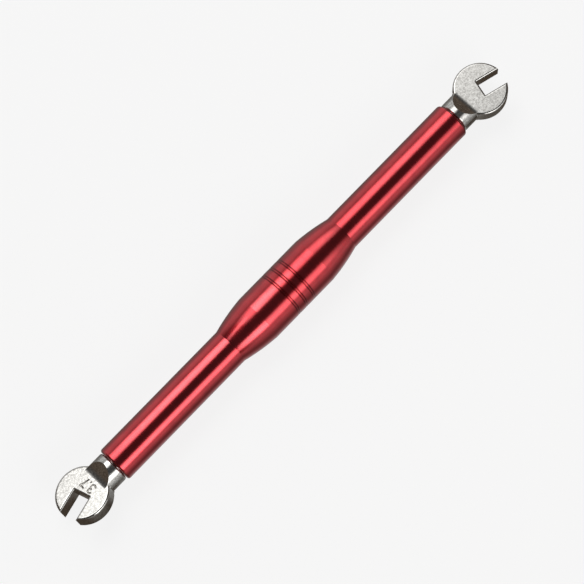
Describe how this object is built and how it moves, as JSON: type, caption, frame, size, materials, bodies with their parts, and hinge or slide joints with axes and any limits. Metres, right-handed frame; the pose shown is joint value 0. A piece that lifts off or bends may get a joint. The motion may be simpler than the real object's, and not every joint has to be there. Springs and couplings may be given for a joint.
{
  "type": "spoke wrench",
  "caption": "Double-ended spoke wrench: slim turned handle with a swollen ringed grip, and a flat steel head with an angled open jaw fixed in each end.",
  "frame": {"origin": "middle of the handle, on its axis", "axes": "+X along the handle towards the narrow jaw head, +Z square to the flats of the narrow jaw head"},
  "size_m": [0.1256, 0.0116, 0.0108],
  "materials": {
    "anodised_handle": "red anodised, finely turned, satin",
    "plated_steel": "bright plated over a lightly mottled forged skin"
  },
  "bodies": {
    "root": {"handle": "anodised_handle", "wide_jaw_head": "plated_steel", "narrow_jaw_head": "plated_steel"}
  },
  "joints": []
}
